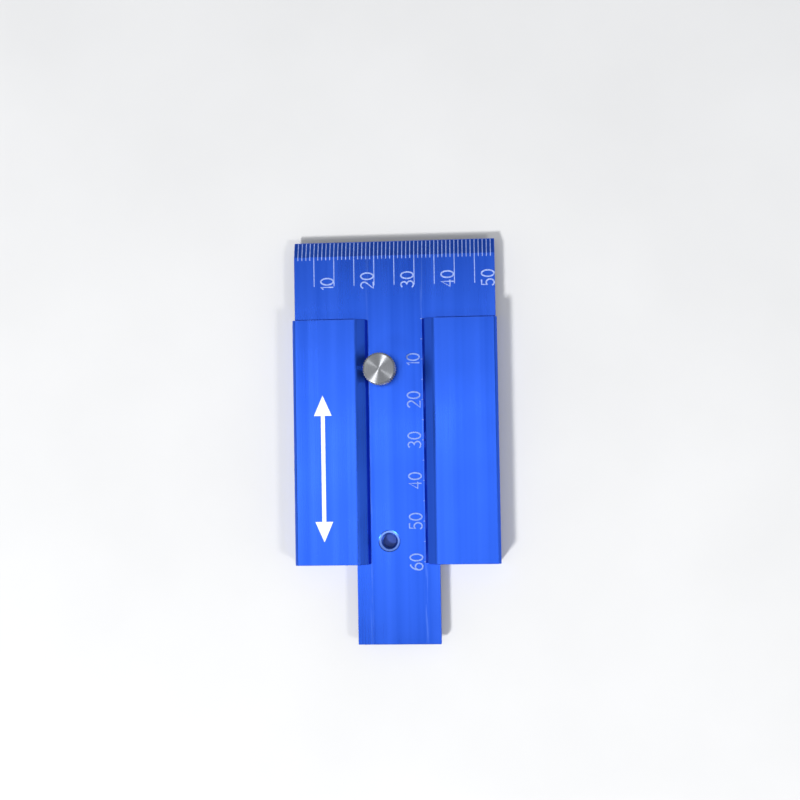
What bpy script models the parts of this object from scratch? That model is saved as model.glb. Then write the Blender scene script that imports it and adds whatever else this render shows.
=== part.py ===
"""Small sliding T square of anodised aluminium.

A T-shaped blade carries the ruling edge on its head. Its stem slides in a T slot along a guide block,
and a knurled thumb screw through the stem clamps it by pressing a soft tip onto the slot's floor.

Metres, +Z up. +Y runs towards the head's ruling edge, and the origin is the centre of the underside,
with the blade pushed fully home.
"""

import math

import bmesh
import bpy

MM = 0.001

# Guide block: a straight extrusion along Y
BLOCK_WIDTH = 50.5 * MM
BLOCK_LENGTH = 60.4 * MM
BLOCK_HEIGHT = 7.2 * MM
FLOOR_THICKNESS = 2.0 * MM
MOUTH_WIDTH = 13.5 * MM  # between the two lips that hold the stem down
MOUTH_SLOPE = 2.85 * MM  # width in plan from a lip's edge up to the plate beside it
LIP_STEEP = 0.6 * MM  # width in plan of the steep part of that, next to the edge
LIP_THICKNESS = 0.3 * MM  # at the lip's edge
LIP_RISE = 1.2 * MM  # height of the steep part
PLATE_ROUNDING = 2.0 * MM  # radius where the slope meets the plate
PLATE_CHAMFER = 0.65 * MM
EDGE_BREAK = 0.12 * MM  # sharp edges taken off all round

# Blade: head and stem are one plate
BLADE_THICKNESS = 2.0 * MM
HEAD_WIDTH = 50.0 * MM
STEM_WIDTH = 20.5 * MM
HEAD_DEPTH = 19.5 * MM
HEAD_GAP = 0.3 * MM  # left between the head and the block when the blade is home
RULING_EDGE_THICKNESS = 0.5 * MM
RULING_BEVEL = 3.8 * MM  # width in plan
STEM_TAIL = 19.8 * MM  # stem left showing behind the block when the blade is home
SLIDE_GAP = 0.2 * MM  # all round the stem in its slot

# Threaded seats for the thumb screw: one in use near the head, one spare near the tail
SEAT_BORE = 4.0 * MM
SEAT_CHAMFER = 0.6 * MM
FRONT_SEAT = (-3.6 * MM, 17.7 * MM)
REAR_SEAT = (-2.2 * MM, -24.6 * MM)

# Thumb screw, at rest screwed down tight
THREAD_PITCH = 0.7 * MM
THREAD_CREST = 3.7 * MM  # diameter over the crests
THREAD_ROOT = 2.9 * MM
KNOB_DIAMETER = 8.0 * MM
KNOB_HEIGHT = 5.0 * MM
KNOB_NECK = 5.2 * MM  # diameter of the plain neck under the knurl
NECK_HEIGHT = 1.0 * MM
KNOB_LIFT = 0.7 * MM  # neck's underside above the stem when tight
KNURL_RIDGES = 40
KNURL_DEPTH = 0.22 * MM
KNOB_CHAMFER = 0.45 * MM
SPIGOT = 2.4 * MM  # plain end of the stud that the knob is pressed onto
SPIGOT_LENGTH = 3.2 * MM
FIT_GAP = 0.1 * MM  # between pieces that touch
TIP_DIAMETER = 1.7 * MM  # soft plug in the stud's lower end
TIP_LENGTH = 1.4 * MM
TIP_SHOWS = 0.25 * MM  # of it below the stud
TIP_CLEAR = 0.1 * MM  # over the slot's floor

# Heights and places worked out from them
SLOT_ROOF = FLOOR_THICKNESS + BLADE_THICKNESS + 2 * SLIDE_GAP
BLADE_LOW = FLOOR_THICKNESS + SLIDE_GAP
BLADE_TOP = BLADE_LOW + BLADE_THICKNESS
BLOCK_FRONT = BLOCK_LENGTH / 2
HEAD_REAR = BLOCK_FRONT + HEAD_GAP
HEAD_FRONT = HEAD_REAR + HEAD_DEPTH
STEM_END = -BLOCK_FRONT - STEM_TAIL
TIP_LOW = FLOOR_THICKNESS + TIP_CLEAR
STUD_LOW = TIP_LOW + TIP_SHOWS
NECK_LOW = BLADE_TOP + KNOB_LIFT

ROUND_STEPS = 48
THREAD_STEPS = 24

BLUE_ANODISE = (0.03, 0.12, 0.80)


def clear_scene():
    for obj in list(bpy.data.objects):
        bpy.data.objects.remove(obj)


def new_collection(name):
    collection = bpy.data.collections.new(name)
    bpy.context.scene.collection.children.link(collection)
    return collection


def metal(name, colour, roughness, metallic=1.0):
    material = bpy.data.materials.new(name)
    material.use_nodes = True
    shader = material.node_tree.nodes["Principled BSDF"]
    shader.inputs["Base Color"].default_value = (*colour, 1.0)
    shader.inputs["Roughness"].default_value = roughness
    shader.inputs["Metallic"].default_value = metallic
    return material


def shade(mesh):
    mesh.shade_smooth()
    mesh.set_sharp_from_angle(angle=math.radians(30))


def prism(name, outline, thickness, collection):
    """Mesh object of a flat outline of (x, y) points, centred on z = 0 and thickness thick."""
    curve = bpy.data.curves.new(name, "CURVE")
    curve.dimensions = "2D"
    curve.fill_mode = "BOTH"
    curve.extrude = thickness / 2
    spline = curve.splines.new("POLY")
    spline.points.add(len(outline) - 1)
    for point, (x, y) in zip(spline.points, outline):
        point.co = (x, y, 0, 1)
    spline.use_cyclic_u = True
    guide = bpy.data.objects.new(name + "_outline", curve)
    collection.objects.link(guide)
    graph = bpy.context.evaluated_depsgraph_get()
    mesh = bpy.data.meshes.new_from_object(guide.evaluated_get(graph))
    bpy.data.objects.remove(guide)
    bm = bmesh.new()
    bm.from_mesh(mesh)
    bmesh.ops.remove_doubles(bm, verts=bm.verts, dist=0.001 * MM)
    bmesh.ops.dissolve_limit(bm, angle_limit=math.radians(0.1), verts=bm.verts, edges=bm.edges)
    bmesh.ops.recalc_face_normals(bm, faces=bm.faces)
    bm.to_mesh(mesh)
    bm.free()
    mesh.name = name
    obj = bpy.data.objects.new(name, mesh)
    collection.objects.link(obj)
    return obj


def box(name, low, high, collection):
    """Mesh object of a box between two opposite corners."""
    bm = bmesh.new()
    bmesh.ops.create_cube(bm, size=1.0)
    size = [b - a for a, b in zip(low, high)]
    middle = [(a + b) / 2 for a, b in zip(low, high)]
    bmesh.ops.scale(bm, vec=size, verts=bm.verts)
    bmesh.ops.translate(bm, vec=middle, verts=bm.verts)
    mesh = bpy.data.meshes.new(name)
    bm.to_mesh(mesh)
    bm.free()
    obj = bpy.data.objects.new(name, mesh)
    collection.objects.link(obj)
    return obj


def turned(name, profile, collection, steps=ROUND_STEPS):
    """Screw modifier on a (radius, z) profile that runs from the top of the axis to its bottom."""
    mesh = bpy.data.meshes.new(name)
    points = [(radius, 0, z) for radius, z in profile]
    mesh.from_pydata(points, [(i, i + 1) for i in range(len(points) - 1)], [])
    obj = bpy.data.objects.new(name, mesh)
    collection.objects.link(obj)
    screw = obj.modifiers.new("Turn", "SCREW")
    screw.steps = screw.render_steps = steps
    screw.use_merge_vertices = True
    screw.merge_threshold = 0.001 * MM
    screw.use_smooth_shade = False
    return obj


def bevel(obj, width):
    modifier = obj.modifiers.new("Edge break", "BEVEL")
    modifier.width = width
    modifier.segments = 1
    modifier.limit_method = "ANGLE"
    modifier.angle_limit = math.radians(30)


def cut(obj, cutter):
    modifier = obj.modifiers.new("Cut " + cutter.name, "BOOLEAN")
    modifier.operation = "DIFFERENCE"
    modifier.object = cutter


def join(obj, other):
    modifier = obj.modifiers.new("Join " + other.name, "BOOLEAN")
    modifier.operation = "UNION"
    modifier.object = other


def as_helper(obj):
    obj.hide_render = True
    obj.display_type = "WIRE"


def rounded_plate_edge(top_corner, lip_corner, steps=4):
    """Points of the arc that rounds the plate's inner edge, from the flat top to the slope."""
    slope = math.atan2(top_corner[1] - lip_corner[1], top_corner[0] - lip_corner[0])
    centre_x = top_corner[0] + PLATE_ROUNDING * math.tan(slope / 2)
    centre_z = top_corner[1] - PLATE_ROUNDING
    points = []
    for step in range(steps + 1):
        angle = math.pi / 2 + slope * step / steps
        x = centre_x + PLATE_ROUNDING * math.cos(angle)
        points.append((x, centre_z + PLATE_ROUNDING * math.sin(angle)))
    return points


def guide_block(parts):
    """Extruded block: two plates joined by a thin floor, with lips over the slot for the stem."""
    half = BLOCK_WIDTH / 2
    slot = STEM_WIDTH / 2 + SLIDE_GAP
    mouth = MOUTH_WIDTH / 2
    lip_top = SLOT_ROOF + LIP_THICKNESS
    chamfer = PLATE_CHAMFER
    lip_corner = (mouth + LIP_STEEP, lip_top + LIP_RISE)
    right = [
        (half - chamfer, 0),
        (half, chamfer),
        (half, BLOCK_HEIGHT - chamfer),
        (half - chamfer, BLOCK_HEIGHT),
        *rounded_plate_edge((mouth + MOUTH_SLOPE, BLOCK_HEIGHT), lip_corner),
        lip_corner,
        (mouth, lip_top),
        (mouth, SLOT_ROOF),
        (slot, SLOT_ROOF),
        (slot, FLOOR_THICKNESS),
    ]
    left = [(-x, z) for x, z in reversed(right)]
    block = prism("guide_block", right + left, BLOCK_LENGTH, parts)
    block.rotation_euler = (math.radians(90), 0, 0)
    bevel(block, EDGE_BREAK)
    block.data.materials.append(metal("block_anodised_blue", BLUE_ANODISE, 0.38))
    return block


def seat_cutter(name, place, cutters):
    """Bore with a chamfer at each mouth, for one of the stem's threaded seats."""
    bore = SEAT_BORE / 2
    past = 0.5 * MM
    flare = SEAT_CHAMFER + past
    profile = [
        (0, BLADE_TOP + past),
        (bore + flare, BLADE_TOP + past),
        (bore, BLADE_TOP - SEAT_CHAMFER),
        (bore, BLADE_LOW + SEAT_CHAMFER / 2),
        (bore + SEAT_CHAMFER / 2 + past, BLADE_LOW - past),
        (0, BLADE_LOW - past),
    ]
    cutter = turned(name, profile, cutters)
    cutter.location = (*place, 0)
    as_helper(cutter)
    return cutter


def ruling_bevel_cutter(cutters):
    """Wedge taken off the top of the head along its front edge."""
    drop = BLADE_THICKNESS - RULING_EDGE_THICKNESS
    slope = drop / RULING_BEVEL
    past = 1.0 * MM
    wedge = [
        (0, 0),
        (RULING_BEVEL + past, -slope * (RULING_BEVEL + past)),
        (RULING_BEVEL + past, past),
        (0, past),
    ]
    cutter = prism("ruling_bevel_cutter", wedge, HEAD_WIDTH + 2 * past, cutters)
    cutter.rotation_euler = (math.radians(90), 0, math.radians(90))
    cutter.location = (0, HEAD_FRONT - RULING_BEVEL, BLADE_TOP)
    as_helper(cutter)
    return cutter


def sliding_blade(parts, cutters):
    """One plate: the head with its ruling edge, and the stem with two threaded seats."""
    half = HEAD_WIDTH / 2
    side = STEM_WIDTH / 2
    into_head = HEAD_DEPTH / 2
    blade = box("sliding_blade", (-half, HEAD_REAR, BLADE_LOW), (half, HEAD_FRONT, BLADE_TOP), parts)
    stem = box("stem", (-side, STEM_END, BLADE_LOW), (side, HEAD_REAR + into_head, BLADE_TOP), cutters)
    as_helper(stem)
    join(blade, stem)
    cut(blade, ruling_bevel_cutter(cutters))
    cut(blade, seat_cutter("front_seat_cutter", FRONT_SEAT, cutters))
    cut(blade, seat_cutter("rear_seat_cutter", REAR_SEAT, cutters))
    bevel(blade, EDGE_BREAK)
    blade.data.materials.append(metal("blade_anodised_blue", BLUE_ANODISE, 0.35))
    return blade


def knurl_radius(angle):
    """Radius of the knob's rim at an angle, rising and falling once for each ridge."""
    wave = abs(math.sin(angle * KNURL_RIDGES / 2))
    return KNOB_DIAMETER / 2 - KNURL_DEPTH * (1 - wave)


def knurled_rim(low, high):
    """Mesh object of a closed knurled cylinder with a chamfer at each end, centred on the Z axis."""
    steps = KNURL_RIDGES * 4
    end_radius = KNOB_DIAMETER / 2 - KNURL_DEPTH - KNOB_CHAMFER / 2
    rings = [
        (low, lambda angle: end_radius),
        (low + KNOB_CHAMFER, knurl_radius),
        (high - KNOB_CHAMFER, knurl_radius),
        (high, lambda angle: end_radius),
    ]
    angles = [2 * math.pi * step / steps for step in range(steps)]
    bm = bmesh.new()
    loops = []
    for z, radius in rings:
        points = [(radius(a) * math.cos(a), radius(a) * math.sin(a), z) for a in angles]
        loops.append([bm.verts.new(point) for point in points])
    for lower, upper in zip(loops, loops[1:]):
        for i in range(steps):
            j = (i + 1) % steps
            bm.faces.new((lower[i], lower[j], upper[j], upper[i]))
    bm.faces.new(loops[-1])
    bm.faces.new(reversed(loops[0]))
    mesh = bpy.data.meshes.new("thumb_knob")
    bm.to_mesh(mesh)
    bm.free()
    return bpy.data.objects.new("thumb_knob", mesh)


def knob(parts, cutters):
    """Knurled knob with a turned face and a plain neck, bored from below for the stud's spigot."""
    low = NECK_LOW + NECK_HEIGHT
    piece = knurled_rim(low, low + KNOB_HEIGHT)
    parts.objects.link(piece)
    piece.location = (*FRONT_SEAT, 0)

    into_rim = low + KNOB_CHAMFER
    neck_radius = KNOB_NECK / 2
    neck_profile = [(0, into_rim), (neck_radius, into_rim), (neck_radius, NECK_LOW), (0, NECK_LOW)]
    neck = turned("knob_neck", neck_profile, cutters)
    neck.location = (*FRONT_SEAT, 0)
    as_helper(neck)
    join(piece, neck)

    socket_radius = SPIGOT / 2 + FIT_GAP
    socket_top = NECK_LOW + SPIGOT_LENGTH + FIT_GAP
    past = NECK_LOW - 0.5 * MM
    socket_profile = [(0, socket_top), (socket_radius, socket_top), (socket_radius, past), (0, past)]
    socket = turned("knob_socket_cutter", socket_profile, cutters)
    socket.location = (*FRONT_SEAT, 0)
    as_helper(socket)
    cut(piece, socket)
    piece.data.materials.append(metal("knob_turned_silver", (0.72, 0.70, 0.66), 0.28))
    return piece


def stud(parts):
    """Threaded stud with a bore at its foot for the soft tip and a plain spigot for the knob.

    The thread is a stack of rings, one to each turn.
    """
    shoulder = NECK_LOW - FIT_GAP
    hole = TIP_DIAMETER / 2 + FIT_GAP
    hole_top = TIP_LOW + TIP_LENGTH + FIT_GAP
    root = THREAD_ROOT / 2
    crest = THREAD_CREST / 2
    spigot_top = NECK_LOW + SPIGOT_LENGTH
    turns = int((shoulder - STUD_LOW) / THREAD_PITCH)
    plain = (shoulder - STUD_LOW - turns * THREAD_PITCH) / 2
    profile = [(0, spigot_top), (SPIGOT / 2, spigot_top), (SPIGOT / 2, shoulder), (root, shoulder)]
    for turn in range(turns):
        top = shoulder - plain - turn * THREAD_PITCH
        profile.append((root, top))
        profile.append((crest, top - 0.4 * THREAD_PITCH))
        profile.append((crest, top - 0.6 * THREAD_PITCH))
    profile += [
        (root, STUD_LOW + plain),
        (root, STUD_LOW),
        (hole, STUD_LOW),
        (hole, hole_top),
        (0, hole_top),
    ]
    piece = turned("clamp_stud", profile, parts, THREAD_STEPS)
    piece.location = (*FRONT_SEAT, 0)
    piece.data.materials.append(metal("stud_steel", (0.56, 0.55, 0.53), 0.35))
    return piece


def soft_tip(parts):
    """Plug of soft plastic in the stud's end, which spares the finish of the slot's floor."""
    radius = TIP_DIAMETER / 2
    rounding = radius / 4
    profile = [
        (0, TIP_LOW + TIP_LENGTH),
        (radius, TIP_LOW + TIP_LENGTH),
        (radius, TIP_LOW + rounding / 2),
        (radius - rounding, TIP_LOW),
        (0, TIP_LOW),
    ]
    piece = turned("soft_tip", profile, parts, THREAD_STEPS)
    piece.location = (*FRONT_SEAT, 0)
    piece.data.materials.append(metal("tip_nylon", (0.85, 0.84, 0.80), 0.5, 0.0))
    return piece


def main():
    clear_scene()
    parts = new_collection("t_square")
    cutters = new_collection("cutters")
    block = guide_block(parts)
    blade = sliding_blade(parts, cutters)
    for mesh_object in (block, blade, knob(parts, cutters), stud(parts), soft_tip(parts)):
        shade(mesh_object.data)


main()
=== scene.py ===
"""Looks of the sliding T square: materials, engraved scales, knurled thumb screw, light and camera."""

import math

import bmesh
import bpy
from mathutils import Matrix, Vector


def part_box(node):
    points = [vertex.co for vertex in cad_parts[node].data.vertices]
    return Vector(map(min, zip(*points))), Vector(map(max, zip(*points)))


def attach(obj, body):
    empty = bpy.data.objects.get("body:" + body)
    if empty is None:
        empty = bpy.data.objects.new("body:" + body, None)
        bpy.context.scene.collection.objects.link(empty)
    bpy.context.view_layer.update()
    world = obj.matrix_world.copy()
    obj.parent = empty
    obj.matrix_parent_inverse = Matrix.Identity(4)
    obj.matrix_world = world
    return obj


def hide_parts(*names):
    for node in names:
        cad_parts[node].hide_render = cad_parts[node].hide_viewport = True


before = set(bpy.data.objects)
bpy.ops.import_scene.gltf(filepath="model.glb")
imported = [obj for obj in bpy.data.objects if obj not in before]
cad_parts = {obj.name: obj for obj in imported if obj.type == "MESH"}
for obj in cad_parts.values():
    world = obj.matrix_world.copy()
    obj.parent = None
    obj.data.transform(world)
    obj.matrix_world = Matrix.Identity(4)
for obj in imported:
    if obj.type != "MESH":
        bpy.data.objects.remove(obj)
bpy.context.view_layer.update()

MM = 0.001

# ---------------------------------------------------------------- places, from the frame
_, BLOCK_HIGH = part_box("guide_block")
BLADE_LOW, BLADE_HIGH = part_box("sliding_blade")
KNOB_LOW, KNOB_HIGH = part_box("thumb_knob")
STUD_LOW, STUD_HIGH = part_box("clamp_stud")
TIP_LOW, TIP_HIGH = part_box("soft_tip")

HEAD_LEFT = BLADE_LOW.x
HEAD_FRONT = BLADE_HIGH.y
SCREW_AXIS = ((KNOB_LOW.x + KNOB_HIGH.x) / 2, (KNOB_LOW.y + KNOB_HIGH.y) / 2)
REAR_SEAT = (-2.2 * MM, -24.6 * MM)
KNOB_RADIUS = (KNOB_HIGH.x - KNOB_LOW.x) / 2

# ---------------------------------------------------------------- sizes that the CAD model was built with
RULING_BEVEL = 3.8 * MM  # width in plan
RULING_EDGE = 0.5 * MM  # height of the head's front edge
LIP_EDGE = 6.75 * MM  # from the centre line to the edge of either lip
SEAT_BORE_RADIUS = 2.0 * MM
SEAT_CHAMFER = 0.6 * MM
PITCH = 0.7 * MM
CREST_RADIUS = 1.85 * MM
ROOT_RADIUS = 1.45 * MM
SPIGOT_RADIUS = 1.2 * MM
SPIGOT_LENGTH = 3.3 * MM
NECK_RADIUS = 2.6 * MM
NECK_HEIGHT = 1.0 * MM
KNURL_RIDGES = 40
FIT_GAP = 0.1 * MM

# ---------------------------------------------------------------- scales
SCALE_LENGTH = 50  # mm along the head
STEM_SCALE_LENGTH = 60  # mm along the stem
INK_RISE = 0.012 * MM  # marks stand this far out of the metal
INK_SUNK = 0.05 * MM
TICK_WIDTH = 0.20 * MM
TICK_INSET = 0.15 * MM  # from the ruling edge to the start of a tick
SHORT_TICK = 4.6 * MM  # from the ruling edge to the end of a tick
LONG_TICK = 11.2 * MM
STEM_TICK_START = 9.7 * MM  # these three are from the centre line
STEM_SHORT_END = 8.0 * MM
STEM_LONG_END = 6.35 * MM
NUMERAL_HEIGHT = 3.1 * MM
NUMERAL_STROKE = 0.38 * MM
NUMERAL_GAP = 0.2  # between two numerals, as a share of their height
NUMERAL_TO_TICK = 0.2 * MM  # between a number on the head and the tick it names
HEAD_NUMERALS_BACK = 11.9 * MM  # from the ruling edge to where the head's numbers start
STEM_NUMERALS_X = 4.4 * MM

# ---------------------------------------------------------------- fineness of the turned meshes
SHARP_ANGLE = 28  # degrees
THREAD_STEPS = 72  # round the axis
STUD_ROWS = 56  # along it
SEAT_ROWS = 32
STEPS_TO_A_RIDGE = 8

# ---------------------------------------------------------------- edge wear and painted edge highlight, and painted shade inside the slot
EDGE_WEAR_AND_HIGHLIGHT = 0.22 * MM
SLOT_REACH = 10.5  # mm from the centre line, and mm up for the other two
SLOT_LOW = 1.9
SLOT_HIGH = 4.45


# ---------------------------------------------------------------- materials
def material(name):
    made = bpy.data.materials.new(name)
    made.use_nodes = True
    tree = made.node_tree
    return made, tree, tree.nodes["Principled BSDF"]


def node(tree, kind, **settings):
    made = tree.nodes.new(kind)
    for key, value in settings.items():
        setattr(made, key, value)
    return made


def feed(tree, socket, value):
    """Links a socket to another node's output, or sets it to a number or a colour."""
    if isinstance(value, bpy.types.NodeSocket):
        tree.links.new(value, socket)
    elif isinstance(value, tuple):
        socket.default_value = (*value, 1.0)
    else:
        socket.default_value = value


def maths(tree, operation, *values):
    made = node(tree, "ShaderNodeMath", operation=operation)
    for socket, value in zip(made.inputs, values):
        feed(tree, socket, value)
    return made.outputs[0]


def mixed(tree, factor, first, second):
    """Colour between two, at a factor from 0 to 1. Sockets 6 and 7 and output 2 are the node's colours."""
    made = node(tree, "ShaderNodeMix", data_type="RGBA")
    feed(tree, made.inputs[0], factor)
    feed(tree, made.inputs[6], first)
    feed(tree, made.inputs[7], second)
    return made.outputs[2]


def span(tree, factor, low, high, first=0.0, last=1.0):
    """Maps first..last to low..high, and holds it there outside them."""
    made = node(tree, "ShaderNodeMapRange")
    feed(tree, made.inputs["Value"], factor)
    made.inputs["From Min"].default_value = first
    made.inputs["From Max"].default_value = last
    made.inputs["To Min"].default_value = low
    made.inputs["To Max"].default_value = high
    return made.outputs["Result"]


def millimetres(tree):
    """X, Y and Z of the shaded point in millimetres, as the tool is built."""
    where = node(tree, "ShaderNodeTexCoord")
    scaled = node(tree, "ShaderNodeVectorMath", operation="SCALE")
    scaled.inputs["Scale"].default_value = 1 / MM
    tree.links.new(where.outputs["Object"], scaled.inputs[0])
    parts = node(tree, "ShaderNodeSeparateXYZ")
    tree.links.new(scaled.outputs[0], parts.inputs[0])
    return parts.outputs


def facing(tree, axis):
    """How squarely the surface faces along an axis, 0 to 1."""
    where = node(tree, "ShaderNodeTexCoord")
    parts = node(tree, "ShaderNodeSeparateXYZ")
    tree.links.new(where.outputs["Normal"], parts.inputs[0])
    return maths(tree, "ABSOLUTE", parts.outputs[axis])


def off_axis(tree, place):
    """Distance in millimetres from a vertical axis through a place."""
    x, y, _ = millimetres(tree)
    east = maths(tree, "SUBTRACT", x, place[0] / MM)
    north = maths(tree, "SUBTRACT", y, place[1] / MM)
    squares = [maths(tree, "MULTIPLY", side, side) for side in (east, north)]
    return maths(tree, "SQRT", maths(tree, "ADD", *squares))


def placed_noise(tree, scale, stretch=(1, 1, 1), detail=3.0):
    """Noise in object coordinates, scale features to a millimetre before the stretch."""
    where = node(tree, "ShaderNodeTexCoord")
    mapping = node(tree, "ShaderNodeMapping")
    mapping.inputs["Scale"].default_value = [scale * s / MM for s in stretch]
    noise = node(tree, "ShaderNodeTexNoise")
    noise.inputs["Scale"].default_value = 1.0
    noise.inputs["Detail"].default_value = detail
    tree.links.new(where.outputs["Object"], mapping.inputs["Vector"])
    tree.links.new(mapping.outputs["Vector"], noise.inputs["Vector"])
    return noise.outputs["Fac"]


def ramp(tree, factor, stops):
    made = node(tree, "ShaderNodeValToRGB")
    elements = made.color_ramp.elements
    while len(elements) < len(stops):
        elements.new(0.5)
    for element, (place, colour) in zip(elements, stops):
        element.position = place
        element.color = (*colour, 1.0)
    tree.links.new(factor, made.inputs["Fac"])
    return made.outputs["Color"]


def grey(value):
    return (value, value, value)


def bump(tree, height, distance, strength=1.0, under=None):
    made = node(tree, "ShaderNodeBump")
    made.inputs["Distance"].default_value = distance
    made.inputs["Strength"].default_value = strength
    tree.links.new(height, made.inputs["Height"])
    if under is not None:
        tree.links.new(under, made.inputs["Normal"])
    return made.outputs["Normal"]


def edge_wear(tree, radius):
    """1 along the edges, where handling has thinned the finish and where a painted edge highlight goes,
    broken up by noise, and 0 elsewhere.
    """
    rounded = node(tree, "ShaderNodeBevel", samples=6)
    rounded.inputs["Radius"].default_value = radius
    geometry = node(tree, "ShaderNodeNewGeometry")
    product = node(tree, "ShaderNodeVectorMath", operation="DOT_PRODUCT")
    tree.links.new(rounded.outputs["Normal"], product.inputs[0])
    tree.links.new(geometry.outputs["True Normal"], product.inputs[1])
    turn = maths(tree, "SUBTRACT", 1.0, product.outputs["Value"])
    broken = span(tree, placed_noise(tree, 0.9, detail=4.0), 0.25, 1.0, 0.35, 0.65)
    return maths(tree, "MULTIPLY", span(tree, turn, 0.0, 1.0, 0.01, 0.16), broken)


BLUE_DEEP = (0.020, 0.086, 0.56)
BLUE_BRIGHT = (0.030, 0.112, 0.66)
# lighter blue: worn finish on edges and rubbed tracks, and painted highlight along the edges
BLUE_WEAR_AND_HIGHLIGHT = (0.16, 0.30, 0.78)
# painted shade: darker blue for the inside of the slot
BLUE_SLOT_SHADE = (0.022, 0.056, 0.29)
# light blue for the countersinks: partly the cut face, partly painted highlight
COUNTERSINK_CUT_AND_HIGHLIGHT = (0.26, 0.44, 0.95)


def blue_metal(tree, shader):
    """Satin blue anodising over drawing lines that run along Y. Returns its colour, roughness and normal."""
    along_y = (1.0, 0.006, 1.0)
    lines = placed_noise(tree, 3.5, along_y, 4.0)
    broad = placed_noise(tree, 0.35, along_y, 2.0)
    cloud = placed_noise(tree, 0.05, detail=2.0)
    grain = placed_noise(tree, 9.0, detail=2.0)
    cut_marks = placed_noise(tree, 2.5, (0.12, 1.0, 2.0), 3.0)
    end_face = span(tree, facing(tree, 1), 0.0, 1.0, 0.8, 0.95)

    colour = ramp(tree, broad, [(0.3, BLUE_DEEP), (0.7, BLUE_BRIGHT)])
    colour = mixed(tree, maths(tree, "MULTIPLY", end_face, 0.35), colour, BLUE_DEEP)
    rough = span(tree, cloud, 0.25, 0.35, 0.3, 0.7)
    rough = maths(tree, "ADD", rough, span(tree, lines, -0.02, 0.03, 0.35, 0.65))
    rough = maths(tree, "ADD", rough, maths(tree, "MULTIPLY", end_face, 0.08))
    height = maths(tree, "ADD", lines, maths(tree, "MULTIPLY", end_face, cut_marks))
    normal = bump(tree, height, 0.004 * MM, 0.5)
    normal = bump(tree, grain, 0.003 * MM, 0.4, normal)
    shader.inputs["Metallic"].default_value = 1.0
    return colour, rough, normal


def finish(tree, shader, colour, rough, normal):
    feed(tree, shader.inputs["Base Color"], colour)
    feed(tree, shader.inputs["Roughness"], rough)
    feed(tree, shader.inputs["Normal"], normal)


def block_blue(name):
    """The extrusion, lighter along its edges from wear and a painted edge highlight, with painted shade
    inside its slot, which is also left duller.
    """
    made, tree, shader = material(name)
    colour, rough, normal = blue_metal(tree, shader)
    # edges lightened, partly as wear and partly as a painted edge highlight
    colour = mixed(tree, maths(tree, "MULTIPLY", edge_wear(tree, EDGE_WEAR_AND_HIGHLIGHT), 0.45), colour, BLUE_WEAR_AND_HIGHLIGHT)
    x, _, z = millimetres(tree)
    # painted shade: inside the slot the blue is darkened, roughened and made less metallic
    between = maths(tree, "LESS_THAN", maths(tree, "ABSOLUTE", x), SLOT_REACH)
    below = maths(tree, "LESS_THAN", z, SLOT_HIGH)
    above = maths(tree, "GREATER_THAN", z, SLOT_LOW)
    inside = maths(tree, "MULTIPLY", maths(tree, "MULTIPLY", between, below), above)
    colour = mixed(tree, inside, colour, BLUE_SLOT_SHADE)
    rough = maths(tree, "ADD", rough, maths(tree, "MULTIPLY", inside, 0.2))
    finish(tree, shader, colour, rough, normal)
    feed(tree, shader.inputs["Metallic"], span(tree, inside, 1.0, 0.5))
    return made


def blade_blue(name):
    """The plate: countersinks round its two seats in a lighter blue, partly as their cut face and partly as
    painted highlight, and faint tracks where the lips have rubbed it.
    """
    made, tree, shader = material(name)
    colour, rough, normal = blue_metal(tree, shader)
    # edges lightened, partly as wear and partly as a painted edge highlight
    colour = mixed(tree, maths(tree, "MULTIPLY", edge_wear(tree, EDGE_WEAR_AND_HIGHLIGHT), 0.45), colour, BLUE_WEAR_AND_HIGHLIGHT)

    x, _, _ = millimetres(tree)
    past_lip = maths(tree, "SUBTRACT", maths(tree, "ABSOLUTE", x), LIP_EDGE / MM)
    from_lip = maths(tree, "ABSOLUTE", past_lip)
    track = span(tree, from_lip, 0.30, 0.0, 0.05, 0.55)
    streaks = span(tree, placed_noise(tree, 5.0, (1.0, 0.02, 1.0), 3.0), 0.0, 1.0, 0.5, 0.6)
    on_top = span(tree, facing(tree, 2), 0.0, 1.0, 0.9, 0.99)
    rubbed = maths(tree, "MULTIPLY", maths(tree, "MULTIPLY", track, streaks), on_top)
    colour = mixed(tree, rubbed, colour, BLUE_WEAR_AND_HIGHLIGHT)

    slanting = span(tree, facing(tree, 2), 1.0, 0.0, 0.8, 0.9)
    reach = (SEAT_BORE_RADIUS + SEAT_CHAMFER) / MM + 0.2
    near = [maths(tree, "LESS_THAN", off_axis(tree, place), reach) for place in (SCREW_AXIS, REAR_SEAT)]
    # painted highlight: the countersinks are lightened all round, partly as their cut face
    lit_countersink = maths(tree, "MULTIPLY", maths(tree, "ADD", *near), slanting)
    colour = mixed(tree, maths(tree, "MULTIPLY", lit_countersink, 0.9), colour, COUNTERSINK_CUT_AND_HIGHLIGHT)
    rough = maths(tree, "ADD", rough, maths(tree, "MULTIPLY", lit_countersink, 0.1))
    finish(tree, shader, colour, rough, normal)
    feed(tree, shader.inputs["Metallic"], span(tree, lit_countersink, 1.0, 0.45))
    return made


def thread_blue(name):
    """Thread inside the blade's seats, in a darker blue than its faces: painted shade in the seats."""
    made, tree, shader = material(name)
    grain = placed_noise(tree, 5.0, detail=3.0)
    # painted shade: the thread is coloured darker than the blade's faces
    colour = ramp(tree, grain, [(0.3, (0.012, 0.034, 0.20)), (0.7, (0.030, 0.070, 0.34))])
    rough = span(tree, grain, 0.30, 0.45)
    finish(tree, shader, colour, rough, bump(tree, grain, 0.004 * MM, 0.5))
    shader.inputs["Metallic"].default_value = 1.0
    return made


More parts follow.
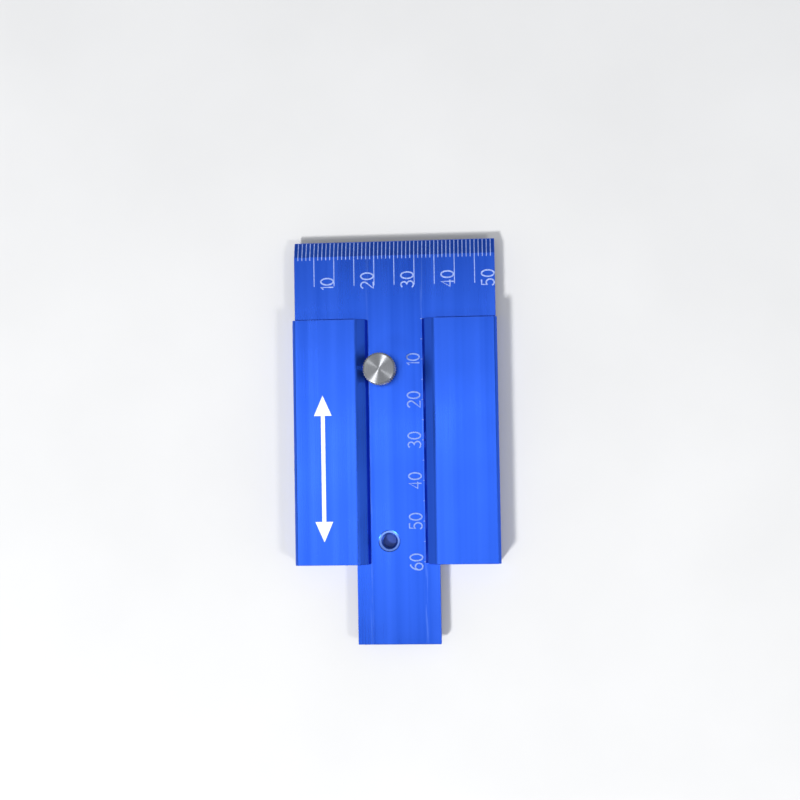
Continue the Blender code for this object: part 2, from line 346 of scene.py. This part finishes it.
def turned_silver(name):
    """Turned face and knurl: rings of fine grooves, which spread a light into fans, and painted shade in the
    knurl's hollows.
    """
    made, tree, shader = material(name)
    grain = placed_noise(tree, 6.0, detail=2.0)
    radius = off_axis(tree, SCREW_AXIS)
    rings = node(tree, "ShaderNodeTexNoise", noise_dimensions="1D")
    rings.inputs["Scale"].default_value = 9.0
    rings.inputs["Detail"].default_value = 3.0
    tree.links.new(radius, rings.inputs["W"])
    stops = [(0.3, (0.225, 0.232, 0.248)), (0.7, (0.325, 0.335, 0.355))]
    colour = ramp(tree, rings.outputs["Fac"], stops)
    side = span(tree, facing(tree, 2), 1.0, 0.0, 0.3, 0.6)
    rim = KNOB_RADIUS / MM
    hollow = span(tree, radius, 1.0, 0.0, rim - 0.24, rim - 0.08)
    # painted shade: the knurl's hollows on the side are darkened
    knurl_shade = maths(tree, "MULTIPLY", side, hollow)
    colour = mixed(tree, maths(tree, "MULTIPLY", knurl_shade, 0.75), colour, (0.10, 0.095, 0.085))
    rough = span(tree, grain, 0.36, 0.46)
    normal = bump(tree, rings.outputs["Fac"], 0.010 * MM, 0.6)
    finish(tree, shader, colour, rough, normal)
    shader.inputs["Metallic"].default_value = 1.0
    shader.inputs["Anisotropic"].default_value = 0.95
    shader.inputs["Anisotropic Rotation"].default_value = 0.25
    tangent = node(tree, "ShaderNodeTangent", direction_type="RADIAL", axis="Z")
    tree.links.new(tangent.outputs["Tangent"], shader.inputs["Tangent"])
    return made


def machined_steel(name):
    """Cut thread of the stud, darker in its grooves."""
    made, tree, shader = material(name)
    grain = placed_noise(tree, 5.0, (1, 1, 3), 3.0)
    colour = ramp(tree, grain, [(0.3, (0.42, 0.41, 0.39)), (0.7, (0.60, 0.58, 0.55))])
    radius = off_axis(tree, SCREW_AXIS)
    groove = span(tree, radius, 1.0, 0.0, ROOT_RADIUS / MM, CREST_RADIUS / MM - 0.1)
    colour = mixed(tree, maths(tree, "MULTIPLY", groove, 0.6), colour, (0.16, 0.15, 0.13))
    finish(tree, shader, colour, span(tree, grain, 0.25, 0.45), bump(tree, grain, 0.006 * MM, 0.5))
    shader.inputs["Metallic"].default_value = 1.0
    return made


def nylon(name):
    made, tree, shader = material(name)
    grain = placed_noise(tree, 4.0, detail=2.0)
    colour = ramp(tree, grain, [(0.3, (0.78, 0.77, 0.72)), (0.7, (0.88, 0.87, 0.83))])
    finish(tree, shader, colour, span(tree, grain, 0.42, 0.58), bump(tree, grain, 0.01 * MM, 0.4))
    return made


def pale_ink(name, low, high):
    """Mark engraved through the anodising: pale, matt and a little uneven."""
    made, tree, shader = material(name)
    patches = placed_noise(tree, 2.2, detail=3.0)
    colour = ramp(tree, patches, [(0.3, low), (0.65, high)])
    finish(tree, shader, colour, span(tree, patches, 0.5, 0.75), bump(tree, patches, 0.006 * MM, 0.6))
    return made


def paper(name):
    made, tree, shader = material(name)
    mottle = placed_noise(tree, 0.02, detail=4.0)
    colour = ramp(tree, mottle, [(0.3, grey(0.57)), (0.7, grey(0.60))])
    fibre = placed_noise(tree, 1.2, detail=4.0)
    finish(tree, shader, colour, 0.8, bump(tree, fibre, 0.02 * MM, 0.3))
    return made


# ---------------------------------------------------------------- shapes
def mesh_object(name, bm, look):
    mesh = bpy.data.meshes.new(name)
    bmesh.ops.recalc_face_normals(bm, faces=bm.faces)
    bm.to_mesh(mesh)
    bm.free()
    obj = bpy.data.objects.new(name, mesh)
    bpy.context.scene.collection.objects.link(obj)
    mesh.materials.append(look)
    return obj


def strip(bm, route, across, width):
    """Closed bar that follows a route of points on a surface: width wide, sunk into it and a little proud."""
    side = Vector(across) * width / 2
    up = Vector((0, 0, 1))
    rings = []
    for point in route:
        centre = Vector(point)
        corners = (
            centre - side - up * INK_SUNK,
            centre + side - up * INK_SUNK,
            centre + side + up * INK_RISE,
            centre - side + up * INK_RISE,
        )
        rings.append([bm.verts.new(corner) for corner in corners])
    for a, b in zip(rings, rings[1:]):
        for i in range(4):
            j = (i + 1) % 4
            bm.faces.new((a[i], a[j], b[j], b[i]))
    bm.faces.new(rings[0])
    bm.faces.new(reversed(rings[-1]))


def surface_z(y):
    """Height of the head's top at a distance along Y, down the ruling bevel."""
    into = y - (HEAD_FRONT - RULING_BEVEL)
    if into <= 0:
        return BLADE_HIGH.z
    drop = BLADE_HIGH.z - BLADE_LOW.z - RULING_EDGE
    return BLADE_HIGH.z - drop * into / RULING_BEVEL


def head_scale(look):
    bm = bmesh.new()
    start = HEAD_FRONT - TICK_INSET
    fold = HEAD_FRONT - RULING_BEVEL
    for mark in range(1, SCALE_LENGTH):
        x = HEAD_LEFT + mark * MM
        end = HEAD_FRONT - (LONG_TICK if mark % 5 == 0 else SHORT_TICK)
        route = [(x, y, surface_z(y)) for y in (start, fold, end)]
        strip(bm, route, (1, 0, 0), TICK_WIDTH)
    return mesh_object("head_scale", bm, look)


def stem_scale(look):
    bm = bmesh.new()
    for mark in range(0, STEM_SCALE_LENGTH + 1):
        y = BLOCK_HIGH.y - mark * MM
        end = STEM_LONG_END if mark % 5 == 0 else STEM_SHORT_END
        route = [(STEM_TICK_START, y, BLADE_HIGH.z), (end, y, BLADE_HIGH.z)]
        strip(bm, route, (0, 1, 0), TICK_WIDTH)
    return mesh_object("stem_scale", bm, look)


def arc(cx, cy, rx, ry, first, last, steps=14):
    """Points of an elliptic arc from one angle to another, in degrees."""
    angles = [math.radians(first + (last - first) * i / steps) for i in range(steps + 1)]
    return [(cx + rx * math.cos(a), cy + ry * math.sin(a)) for a in angles]


# Engraver's numerals in a cell 0.52 wide, or 0.16 for the 1, and 1 high: each is a list of strokes
NUMERAL_CELL = 0.52
ONE_CELL = 0.16
STROKES = {
    "0": [arc(0.26, 0.5, 0.26, 0.5, 0, 360, 28)],
    "1": [[(0.0, 0.80), (0.16, 1.0), (0.16, 0.0)]],
    "2": [arc(0.26, 0.73, 0.25, 0.27, 165, -38) + [(0.0, 0.0), (0.52, 0.0)]],
    "3": [arc(0.24, 0.76, 0.22, 0.24, 150, -90) + arc(0.24, 0.26, 0.27, 0.26, 90, -150)],
    "4": [[(0.40, 0.0), (0.40, 1.0), (0.0, 0.3), (0.52, 0.3)]],
    "5": [[(0.47, 1.0), (0.09, 1.0), (0.05, 0.54)] + arc(0.24, 0.32, 0.27, 0.32, 125, -150)],
    "6": [arc(0.52, 0.3, 0.52, 0.7, 100, 180, 10) + arc(0.26, 0.3, 0.26, 0.3, 180, 540, 24)],
}


def cell(numeral):
    return ONE_CELL if numeral == "1" else NUMERAL_CELL


def number_length(text):
    return (sum(cell(numeral) for numeral in text) + (len(text) - 1) * NUMERAL_GAP) * NUMERAL_HEIGHT


def numerals(name, labels, look):
    """Stroked numbers that read from tail to head, each as (text, x of its middle, y where it starts)."""
    curve = bpy.data.curves.new(name, "CURVE")
    curve.dimensions = "3D"
    curve.bevel_depth = NUMERAL_STROKE / 2
    curve.bevel_resolution = 2
    curve.use_fill_caps = True
    for text, x, start in labels:
        along = 0.0
        for numeral in text:
            for stroke in STROKES[numeral]:
                spline = curve.splines.new("POLY")
                spline.points.add(len(stroke) - 1)
                for point, (u, v) in zip(spline.points, stroke):
                    east = x - (v - 0.5) * NUMERAL_HEIGHT
                    north = start + (along + u) * NUMERAL_HEIGHT
                    point.co = (east, north, 0, 1)
            along += cell(numeral) + NUMERAL_GAP
    obj = bpy.data.objects.new(name, curve)
    bpy.context.scene.collection.objects.link(obj)
    flat = INK_RISE / (NUMERAL_STROKE / 2)
    obj.scale = (1, 1, flat)
    obj.location = (0, 0, BLADE_HIGH.z)
    curve.materials.append(look)
    return obj


def head_numerals(look):
    labels = []
    for mark in range(10, SCALE_LENGTH + 1, 10):
        x = HEAD_LEFT + mark * MM - NUMERAL_HEIGHT / 2 - NUMERAL_TO_TICK
        labels.append((str(mark), x, HEAD_FRONT - HEAD_NUMERALS_BACK))
    return numerals("head_numerals", labels, look)


def stem_numerals(look):
    labels = []
    for mark in range(10, STEM_SCALE_LENGTH + 1, 10):
        text = str(mark)
        start = BLOCK_HIGH.y - mark * MM - number_length(text) / 2
        labels.append((text, STEM_NUMERALS_X, start))
    return numerals("stem_numerals", labels, look)


def slide_arrow(look):
    """Printed double-headed arrow on the left plate, showing which way the blade slides."""
    x = -17.9 * MM
    middle = -6.5 * MM
    half = 18.0 * MM
    head = 5.0 * MM
    head_half = 2.2 * MM
    shaft = 0.5 * MM
    right = [
        (0, half),
        (head_half, half - head),
        (shaft, half - head),
    ]
    quarter = right + [(px, -py) for px, py in reversed(right)]
    outline = quarter + [(-px, py) for px, py in reversed(quarter) if px > 0]
    bm = bmesh.new()
    z = BLOCK_HIGH.z
    low = [bm.verts.new((x + px, middle + py, z - INK_SUNK)) for px, py in outline]
    face = bm.faces.new(low)
    grown = bmesh.ops.extrude_face_region(bm, geom=[face])
    raised = [v for v in grown["geom"] if isinstance(v, bmesh.types.BMVert)]
    bmesh.ops.translate(bm, vec=(0, 0, INK_SUNK + INK_RISE), verts=raised)
    return mesh_object("slide_arrow", bm, look)


# ---------------------------------------------------------------- the thumb screw and its seats
def wound(name, rows, steps, place, look, close=None):
    """Closed mesh wound round a vertical axis through a place: each row is a function of the angle that
    gives (radius, z), and close gives the heights of the poles that shut its ends, or None for a tube."""
    bm = bmesh.new()
    angles = [2 * math.pi * step / steps for step in range(steps)]
    loops = []
    for row in rows:
        loop = []
        for angle in angles:
            radius, z = row(angle)
            spot = (place[0] + radius * math.cos(angle), place[1] + radius * math.sin(angle), z)
            loop.append(bm.verts.new(spot))
        loops.append(loop)
    pairs = list(zip(loops, loops[1:]))
    if close is None:
        pairs.append((loops[-1], loops[0]))
    for one, two in pairs:
        for i in range(steps):
            j = (i + 1) % steps
            bm.faces.new((one[i], one[j], two[j], two[i]))
    if close is not None:
        for loop, z in zip((loops[0], loops[-1]), close):
            pole = bm.verts.new((*place, z))
            for i in range(steps):
                bm.faces.new((pole, loop[i], loop[(i + 1) % steps]))
    piece = mesh_object(name, bm, look)
    piece.data.shade_smooth()
    piece.data.set_sharp_from_angle(angle=math.radians(SHARP_ANGLE))
    return piece


def plain(radius, z):
    return lambda angle: (radius, z)


def ridged(radius, depth, z):
    """Row of a knurled rim: V grooves that deep below the radius, with narrow flats on the ridges."""

    def row(angle):
        phase = angle * KNURL_RIDGES / (2 * math.pi) % 1
        across = abs(2 * phase - 1)
        return radius - depth * min(1, max(0, 1.25 * across - 0.15)), z

    return row


def knurled_knob(look):
    """Knob with a plain neck, a straight knurl, and a faced top whose tool marks are real shallow grooves."""
    neck_low = KNOB_LOW.z
    rim_low = neck_low + NECK_HEIGHT
    top = KNOB_HIGH.z
    deep = 0.24 * MM
    socket = SPIGOT_RADIUS + FIT_GAP
    socket_top = STUD_HIGH.z + FIT_GAP
    break_edge = 0.08 * MM
    rows = [
        plain(socket, socket_top),
        plain(socket, neck_low + break_edge),
        plain(socket + break_edge, neck_low),
        plain(NECK_RADIUS - break_edge, neck_low),
        plain(NECK_RADIUS, neck_low + break_edge),
        plain(NECK_RADIUS, rim_low - 0.06 * MM),
        plain(NECK_RADIUS + 0.06 * MM, rim_low),
        plain(KNOB_RADIUS - 0.55 * MM, rim_low),
        plain(KNOB_RADIUS - 0.45 * MM, rim_low + 0.05 * MM),
        plain(KNOB_RADIUS - deep, rim_low + 0.26 * MM),
        ridged(KNOB_RADIUS - 0.10 * MM, deep - 0.10 * MM, rim_low + 0.34 * MM),
        ridged(KNOB_RADIUS, deep, rim_low + 0.44 * MM),
        ridged(KNOB_RADIUS, deep, (rim_low + top) / 2),
        ridged(KNOB_RADIUS, deep, top - 0.40 * MM),
        ridged(KNOB_RADIUS - 0.10 * MM, deep - 0.10 * MM, top - 0.30 * MM),
        plain(KNOB_RADIUS - deep, top - 0.20 * MM),
        plain(KNOB_RADIUS - 0.36 * MM, top - 0.06 * MM),
        plain(KNOB_RADIUS - 0.46 * MM, top - 0.01 * MM),
        plain(KNOB_RADIUS - 0.54 * MM, top),
    ]
    groove_step = 0.11 * MM
    grooves = int((KNOB_RADIUS - 0.80 * MM) / groove_step)
    for groove in range(grooves):
        radius = KNOB_RADIUS - 0.64 * MM - groove * groove_step
        rows.append(plain(radius, top - (0.008 * MM if groove % 2 == 0 else 0.0)))
    centre_mark = top - 0.05 * MM
    steps = KNURL_RIDGES * STEPS_TO_A_RIDGE
    return wound("knurled_knob", rows, steps, SCREW_AXIS, look, (socket_top, centre_mark))


def thread_radius(angle, z):
    """Radius of the stud's thread: a right-hand helix with flat crests and roots."""
    phase = (z / PITCH - angle / (2 * math.pi)) % 1
    share = min(1, max(0, (abs(2 * phase - 1) - 0.15) / 0.7))
    return ROOT_RADIUS + (CREST_RADIUS - ROOT_RADIUS) * share


def threaded_stud(look):
    """Stud with a cut thread, which runs out at both its ends, and a bore at its foot for the soft tip."""
    foot = STUD_LOW.z
    shoulder = STUD_HIGH.z - SPIGOT_LENGTH
    tip_radius = (TIP_HIGH.x - TIP_LOW.x) / 2
    bore = tip_radius + FIT_GAP
    bore_top = TIP_HIGH.z + FIT_GAP
    run_out = 0.25 * MM

    def threaded(z):
        fade = min(1, (z - foot) / run_out, (shoulder - z) / run_out)
        return lambda angle: (ROOT_RADIUS + (thread_radius(angle, z) - ROOT_RADIUS) * fade, z)

    rows = [plain(bore, bore_top), plain(bore, foot)]
    rows += [threaded(foot + (shoulder - foot) * i / STUD_ROWS) for i in range(STUD_ROWS + 1)]
    rows += [
        plain(SPIGOT_RADIUS, shoulder),
        plain(SPIGOT_RADIUS, STUD_HIGH.z - 0.1 * MM),
        plain(SPIGOT_RADIUS - 0.1 * MM, STUD_HIGH.z),
    ]
    return wound("threaded_stud", rows, THREAD_STEPS, SCREW_AXIS, look, (bore_top, STUD_HIGH.z))


def seat_thread(name, place, look):
    """Thread inside one of the blade's seats, clear of the stud's by the same gap all along its flanks."""
    clearance = SEAT_BORE_RADIUS - CREST_RADIUS
    low = BLADE_LOW.z + SEAT_CHAMFER / 2
    high = BLADE_HIGH.z - SEAT_CHAMFER
    backing = SEAT_BORE_RADIUS + 0.05 * MM
    run_out = 0.12 * MM

    def threaded(z):
        def row(angle):
            fade = min(1, (z - low) / run_out, (high - z) / run_out)
            ridge = SEAT_BORE_RADIUS - clearance - thread_radius(angle, z)
            return SEAT_BORE_RADIUS - ridge * fade, z

        return row

    rows = [threaded(low + (high - low) * i / SEAT_ROWS) for i in range(SEAT_ROWS + 1)]
    rows += [plain(backing, high), plain(backing, low)]
    return wound(name, rows, THREAD_STEPS, place, look)


# ---------------------------------------------------------------- stage
def floor(look):
    bm = bmesh.new()
    bmesh.ops.create_grid(bm, x_segments=1, y_segments=1, size=12.0)
    plane = mesh_object("floor", bm, look)


def area_light(name, place, target, size, power):
    light = bpy.data.lights.new(name, "AREA")
    light.shape = "RECTANGLE"
    light.size, light.size_y = size
    light.energy = power
    obj = bpy.data.objects.new(name, light)
    bpy.context.scene.collection.objects.link(obj)
    obj.location = place
    away = Vector(place) - Vector(target)
    obj.rotation_euler = away.to_track_quat("Z", "Y").to_euler()


def studio():
    """Softbox that the flat faces mirror to the camera, key and fill at the tail's end, low side panels."""
    area_light("softbox", (-0.045, -0.015, 0.62), (-0.045, -0.015, 0), (0.42, 0.22), 0.62)
    area_light("key", (-0.45, -0.63, 0.825), (0, 0, 0), (0.15, 0.15), 13.5)
    area_light("fill", (0.60, -0.40, 0.78), (0, 0, 0), (0.15, 0.15), 3.2)
    area_light("left_panel", (-0.75, 0.0, 0.26), (0, 0, 0), (0.8, 0.35), 0.36)
    area_light("right_panel", (0.75, 0.0, 0.26), (0, 0, 0), (0.8, 0.35), 0.46)
    world = bpy.data.worlds.new("studio")
    bpy.context.scene.world = world
    world.use_nodes = True
    tree = world.node_tree
    direction = node(tree, "ShaderNodeTexCoord")
    parts = node(tree, "ShaderNodeSeparateXYZ")
    tree.links.new(direction.outputs["Generated"], parts.inputs[0])
    sky = ramp(tree, parts.outputs["Z"], [(0.0, (0.80, 0.82, 0.85)), (0.8, (0.28, 0.29, 0.31))])
    tree.links.new(sky, tree.nodes["Background"].inputs["Color"])


def camera():
    data = bpy.data.cameras.new("camera")
    data.lens = 54
    data.sensor_width = 36
    data.clip_start = 0.01
    obj = bpy.data.objects.new("camera", data)
    bpy.context.scene.collection.objects.link(obj)
    place = Vector((0.0217, 0.0001, 0.3003))
    target = Vector((0.0007, 0.0103, 0.0))
    up = Vector((0.0191, 0.9993, 0.0326))
    back = (place - target).normalized()
    right = up.cross(back).normalized()
    rotation = Matrix((right, back.cross(right), back)).transposed()
    obj.matrix_world = Matrix.Translation(place) @ rotation.to_4x4()
    bpy.context.scene.camera = obj


def dress_frame(looks):
    for name, look in looks.items():
        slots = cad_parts[name].data.materials
        slots.clear()
        slots.append(look)


def thumb_screw(silver, steel):
    """Finer shapes for the knob and the stud, which turn and lift as one body."""
    knob = knurled_knob(silver)
    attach(knob, "screw")
    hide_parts("thumb_knob")
    stud = threaded_stud(steel)
    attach(stud, "screw")
    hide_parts("clamp_stud")


def blade_pieces(head_ink, stem_ink, shaded_thread_look):
    marks = (head_scale(head_ink), head_numerals(head_ink), stem_scale(stem_ink), stem_numerals(stem_ink))
    for mark in marks:
        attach(mark, "blade")
    for name, place in (("front_seat_thread", SCREW_AXIS), ("rear_seat_thread", REAR_SEAT)):
        thread = seat_thread(name, place, shaded_thread_look)
        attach(thread, "blade")


def main():
    bpy.context.scene.view_settings.view_transform = "Standard"
    silver = turned_silver("turned_silver")
    steel = machined_steel("machined_steel")
    dress_frame({
        "guide_block": block_blue("block_blue"),
        "sliding_blade": blade_blue("blade_blue"),
        "thumb_knob": silver,
        "clamp_stud": steel,
        "soft_tip": nylon("nylon"),
    })
    thumb_screw(silver, steel)
    head_ink = pale_ink("head_engraving", (0.17, 0.25, 0.55), (0.30, 0.39, 0.72))
    stem_ink = pale_ink("stem_engraving", (0.13, 0.215, 0.53), (0.22, 0.32, 0.69))
    blade_pieces(head_ink, stem_ink, thread_blue("shaded_cut_thread"))
    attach(slide_arrow(pale_ink("print", (0.66, 0.70, 0.80), (0.78, 0.80, 0.88))), "block")
    floor(paper("paper"))
    studio()
    camera()


main()
